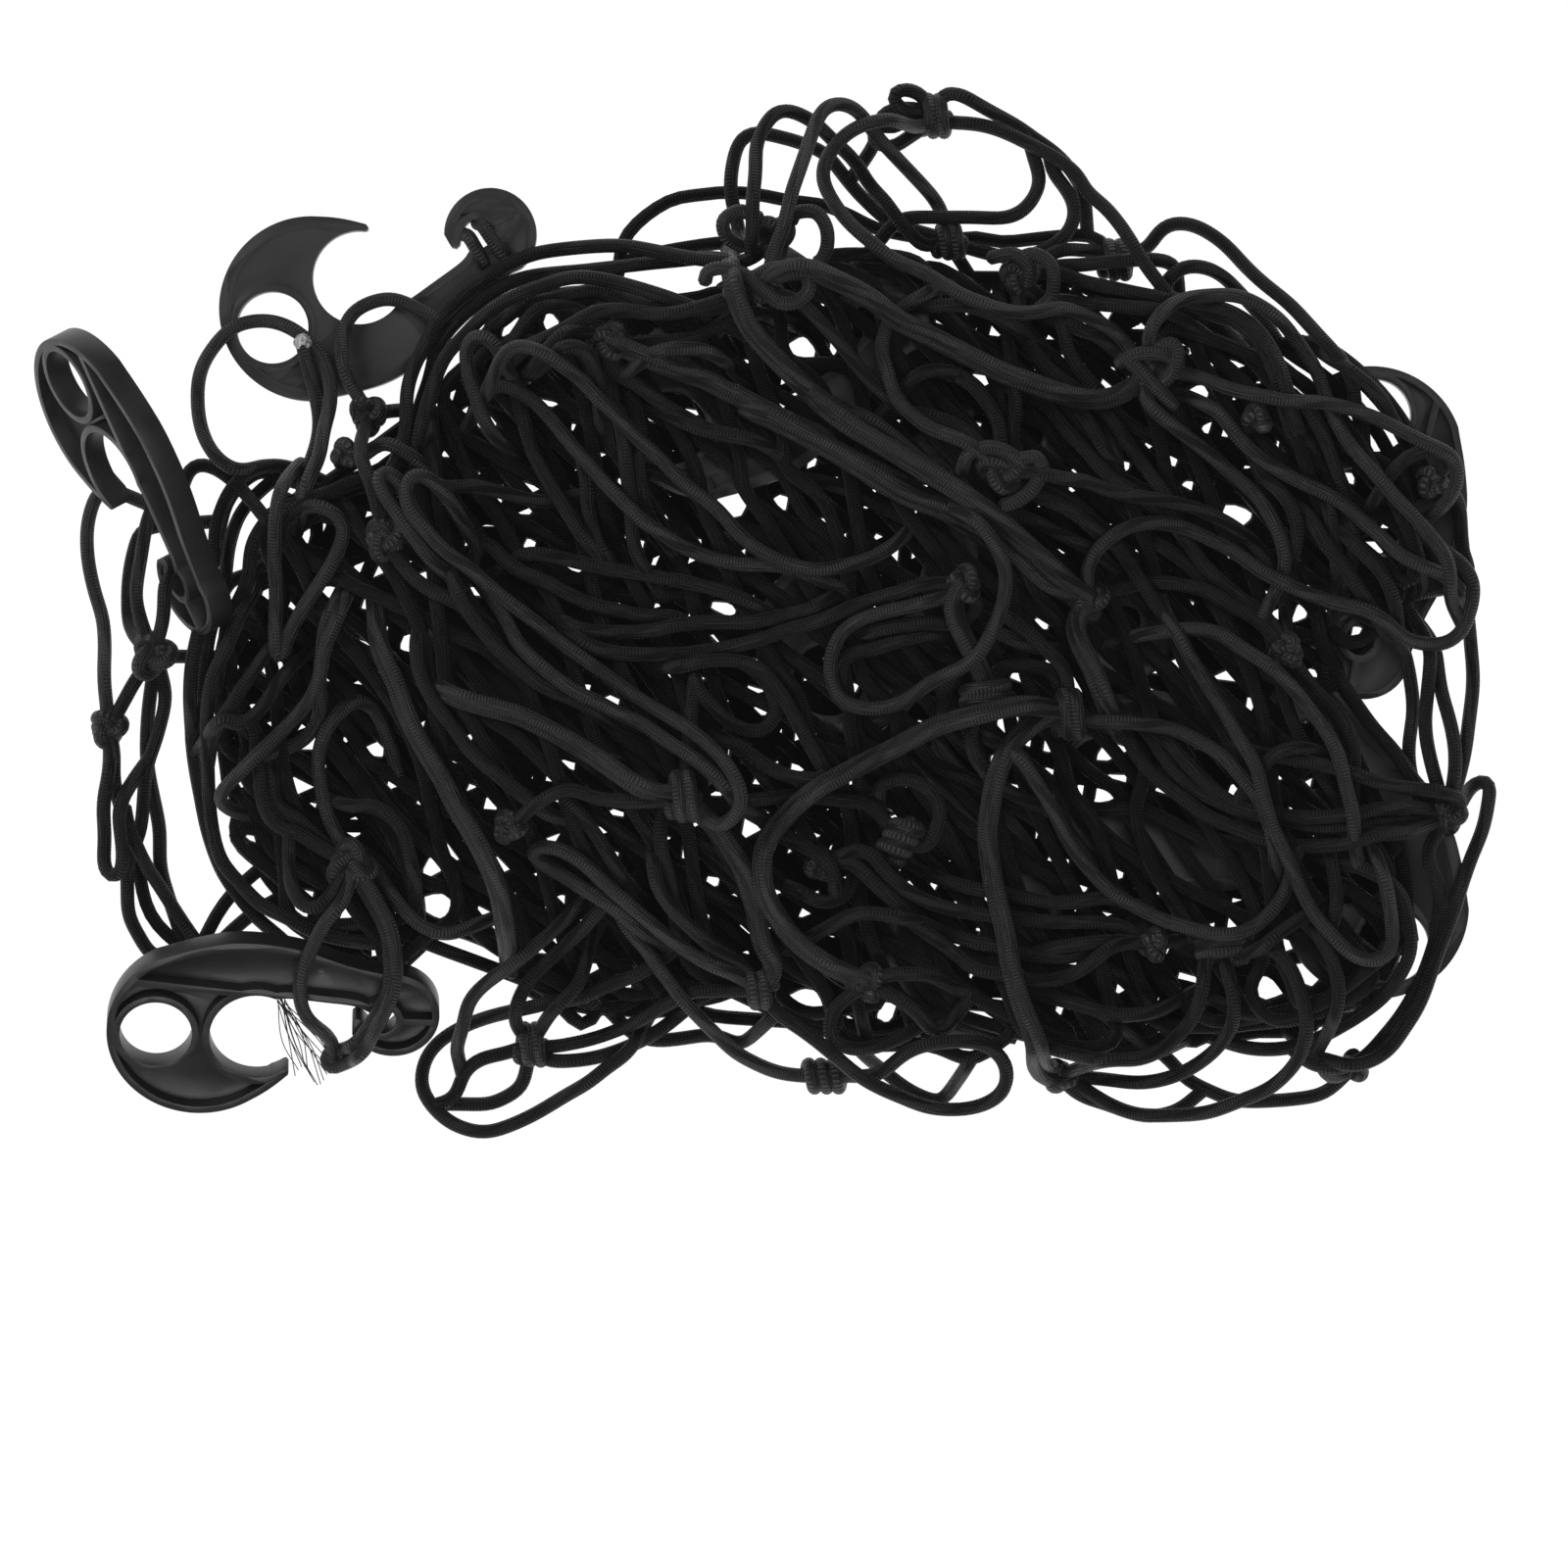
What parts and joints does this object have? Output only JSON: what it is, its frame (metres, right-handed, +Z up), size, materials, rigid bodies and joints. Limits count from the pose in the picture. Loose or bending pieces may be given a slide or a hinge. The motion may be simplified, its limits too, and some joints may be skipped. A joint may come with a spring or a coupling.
{
  "type": "cargo net",
  "caption": "Knotted elastic cargo net lying in a loose heap, with flat plastic hooks that fasten it over a load.",
  "frame": {"origin": "centre of the heap's bounding box, on the surface that it lies on", "axes": "+Z up from the surface, +X along the heap's longest side, to the picture's right; +Y to the picture's top"},
  "size_m": [0.4608, 0.3302, 0.0673],
  "materials": {
    "cord": "matt braided cord",
    "plastic": "satin black"
  },
  "bodies": {
    "root": {"net": "cord", "hook_1": "plastic", "hook_2": "plastic", "hook_3": "plastic", "hook_4": "plastic", "hook_5": "plastic", "hook_6": "plastic", "hook_7": "plastic", "hook_8": "plastic", "hook_9": "plastic", "hook_10": "plastic", "hook_11": "plastic"}
  },
  "joints": []
}
